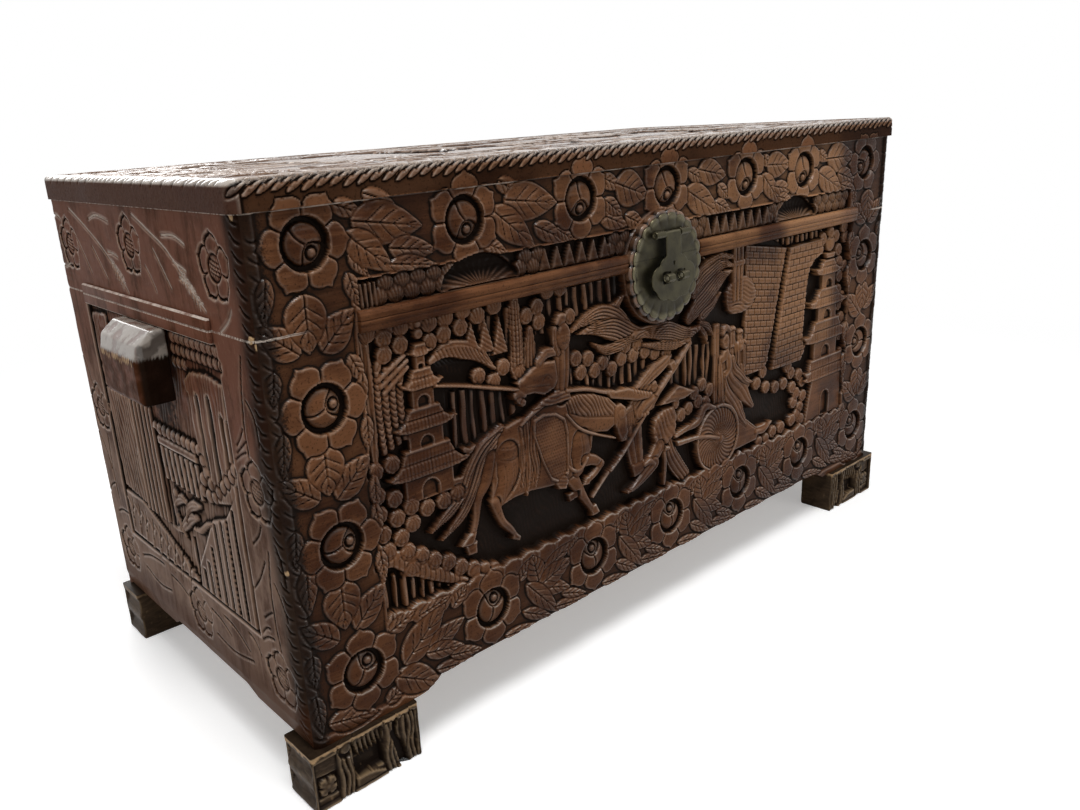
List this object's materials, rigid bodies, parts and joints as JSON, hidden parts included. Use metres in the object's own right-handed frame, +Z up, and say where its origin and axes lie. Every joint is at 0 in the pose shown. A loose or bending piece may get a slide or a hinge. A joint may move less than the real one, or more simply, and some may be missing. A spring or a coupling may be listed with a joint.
{
  "type": "blanket chest",
  "caption": "Carved wooden blanket chest with a hinged lid, block feet, carved side handles and a round brass lock plate with a hanging hasp.",
  "frame": {"origin": "middle of the chest's bounding box at floor level, under the four feet", "axes": "+X to the right seen from the front, +Y to the back, +Z up"},
  "size_m": [1.086, 0.5018, 0.5766],
  "materials": {
    "carved_wood": "carved camphor wood, dark warm brown, waxed and worn on its raised parts",
    "side_wood": "reddish brown stained boards, semi-gloss",
    "top_wood": "worn brown top, semi-gloss, pale at its edges",
    "inner_wood": "bare camphor wood",
    "foot_wood": "dark brown, rubbed to bare wood along its edges",
    "old_brass": "tarnished olive brass",
    "hinge_brass": "aged brass"
  },
  "bodies": {
    "chest": {"front_panel": "carved_wood", "back_panel": "side_wood", "left_panel": "side_wood", "right_panel": "side_wood", "bottom_board": "inner_wood", "foot_front_left": "foot_wood", "foot_front_right": "foot_wood", "foot_back_left": "foot_wood", "foot_back_right": "foot_wood", "case_moulding_left": "carved_wood", "case_moulding_right": "carved_wood", "case_strip_left": "side_wood", "case_strip_right": "side_wood", "handle_left": "side_wood", "handle_right": "side_wood", "lock_boss_lower": "carved_wood", "lock_plate_lower": "old_brass", "eye_staple_left": "old_brass", "eye_staple_right": "old_brass", "hinge_case_leaf_left": "hinge_brass", "hinge_case_leaf_right": "hinge_brass", "hinge_pin_left": "hinge_brass", "hinge_pin_right": "hinge_brass", "case_screw_left_1": "hinge_brass", "case_screw_left_2": "hinge_brass", "case_screw_left_3": "hinge_brass", "case_screw_right_1": "hinge_brass", "case_screw_right_2": "hinge_brass", "case_screw_right_3": "hinge_brass"},
    "lid": {"lid_top_board": "top_wood", "lid_front_rail": "carved_wood", "lid_back_rail": "side_wood", "lid_left_rail": "side_wood", "lid_right_rail": "side_wood", "lid_moulding_left": "carved_wood", "lid_moulding_right": "carved_wood", "lid_strip_left": "side_wood", "lid_strip_right": "side_wood", "lock_boss_upper": "carved_wood", "lock_plate_upper": "old_brass", "hasp_ear_left": "old_brass", "hasp_ear_right": "old_brass", "hasp_pin": "old_brass", "hinge_lid_leaf_left": "hinge_brass", "hinge_lid_leaf_right": "hinge_brass", "lid_screw_left_1": "hinge_brass", "lid_screw_left_2": "hinge_brass", "lid_screw_left_3": "hinge_brass", "lid_screw_right_1": "hinge_brass", "lid_screw_right_2": "hinge_brass", "lid_screw_right_3": "hinge_brass"},
    "hasp": {"hasp": "old_brass"}
  },
  "joints": [
    {"name": "lid_open", "type": "hinge", "parent": "chest", "child": "lid", "pos_m": [0, 0.237, 0.45115], "axis": [-1, 0, 0], "range_deg": [0, 95]},
    {"name": "hasp_swing", "type": "hinge", "parent": "lid", "child": "hasp", "pos_m": [-0.007, -0.2386, 0.4766], "axis": [-1, 0, 0], "range_deg": [0, 170]}
  ]
}
